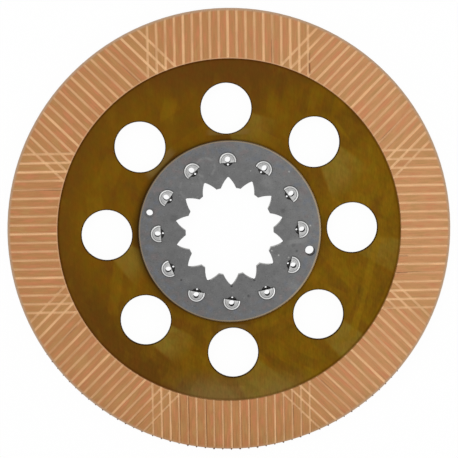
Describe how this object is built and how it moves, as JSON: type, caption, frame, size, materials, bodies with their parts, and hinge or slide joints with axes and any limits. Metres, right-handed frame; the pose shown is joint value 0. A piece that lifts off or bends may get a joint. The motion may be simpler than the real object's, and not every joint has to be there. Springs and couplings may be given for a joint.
{
  "type": "brake disc",
  "caption": "Wet brake friction disc: steel core plate with round lightening holes, grooved paper lining on both faces and a riveted hub with a toothed bore.",
  "frame": {"origin": "centre of the toothed bore, halfway through the core plate", "axes": "+Z along the disc's axis, towards the face that the picture shows; +Y through the first rivet and first lightening hole"},
  "size_m": [0.31, 0.31, 0.009],
  "materials": {
    "varnished_steel": "golden brown varnish with broad olive and brown streaks, satin",
    "paper_lining": "matt tan friction paper, paler in the grooves",
    "bare_steel": "dull grey bare steel with faint heat tints and small scuffs",
    "rivet_steel": "bright plated steel, lightly marked by the setting tool"
  },
  "bodies": {
    "root": {"core_plate": "varnished_steel", "friction_lining_front": "paper_lining", "friction_lining_back": "paper_lining", "hub_plate_front": "bare_steel", "hub_plate_back": "bare_steel", "rivet_01": "rivet_steel", "rivet_02": "rivet_steel", "rivet_03": "rivet_steel", "rivet_04": "rivet_steel", "rivet_05": "rivet_steel", "rivet_06": "rivet_steel", "rivet_07": "rivet_steel", "rivet_08": "rivet_steel", "rivet_09": "rivet_steel", "rivet_10": "rivet_steel", "rivet_11": "rivet_steel", "rivet_12": "rivet_steel"}
  },
  "joints": []
}
